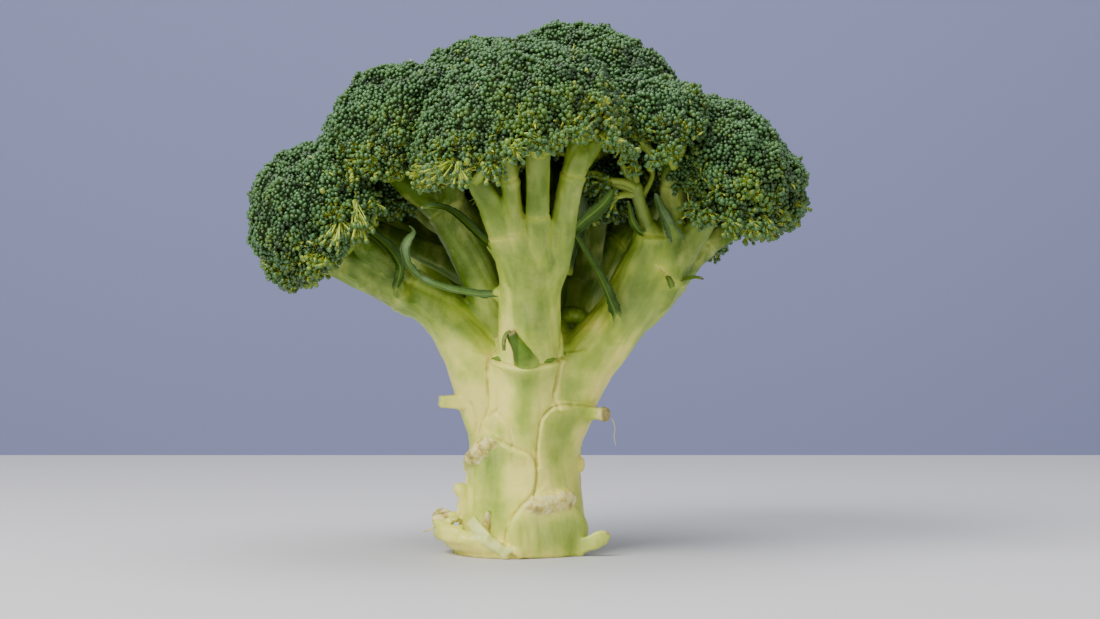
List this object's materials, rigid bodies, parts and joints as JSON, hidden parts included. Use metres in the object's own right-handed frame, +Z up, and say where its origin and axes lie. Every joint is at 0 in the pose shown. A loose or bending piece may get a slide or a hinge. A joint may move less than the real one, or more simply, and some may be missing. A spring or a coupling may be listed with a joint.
{
  "type": "broccoli head",
  "caption": "Broccoli head standing on its flat cut stalk: thick pale stalk forking into branches that carry a wide crown of dark green bud heads, with small leaves and cut leaf stubs.",
  "frame": {"origin": "centre of the flat cut base of the stalk", "axes": "+Z up along the stalk, out of the cut base; -Y towards the front, the side with the fork of the front branch and its bract; +X to the right as seen from the front"},
  "size_m": [0.1867, 0.1556, 0.1816],
  "materials": {
    "stalk_flesh": "satin, pale yellow-green plant skin",
    "branch_skin": "satin, mid green plant skin with a waxy bloom",
    "bud_green": "matt, closely packed dark green buds",
    "leaf_green": "satin leaf",
    "cut_flesh": "matt, cut and dried plant tissue"
  },
  "bodies": {
    "root": {"bract_right_inner": "leaf_green", "bract_right_outer": "leaf_green", "bract_stalk": "leaf_green", "branch_back": "branch_skin", "branch_back_left": "branch_skin", "branch_back_right": "branch_skin", "branch_far_left": "branch_skin", "branch_front": "branch_skin", "branch_inner_right": "branch_skin", "branch_left": "branch_skin", "branch_right": "branch_skin", "branch_top": "branch_skin", "floret_back": "bud_green", "floret_back_left": "bud_green", "floret_back_right": "bud_green", "floret_front": "bud_green", "floret_inner_right": "bud_green", "floret_left": "bud_green", "floret_left_center": "bud_green", "floret_right": "bud_green", "floret_top_left": "bud_green", "floret_top_right": "bud_green", "leaf_back_left": "leaf_green", "leaf_back_right": "leaf_green", "leaf_behind": "leaf_green", "leaf_blunt": "leaf_green", "leaf_far_left": "leaf_green", "leaf_left_curled": "leaf_green", "leaf_left_upper": "leaf_green", "leaf_right_lower": "leaf_green", "leaf_right_upper": "leaf_green", "leaf_twisted": "leaf_green", "stalk": "stalk_flesh", "stub_back_left": "cut_flesh", "stub_back_low": "cut_flesh", "stub_back_right": "cut_flesh", "stub_base_left": "cut_flesh", "stub_base_right": "cut_flesh", "stub_front_left": "cut_flesh", "stub_front_right": "cut_flesh", "stub_left_high": "cut_flesh", "stub_left_low": "cut_flesh", "stub_right_high": "cut_flesh", "stub_right_mid": "cut_flesh"}
  },
  "joints": []
}
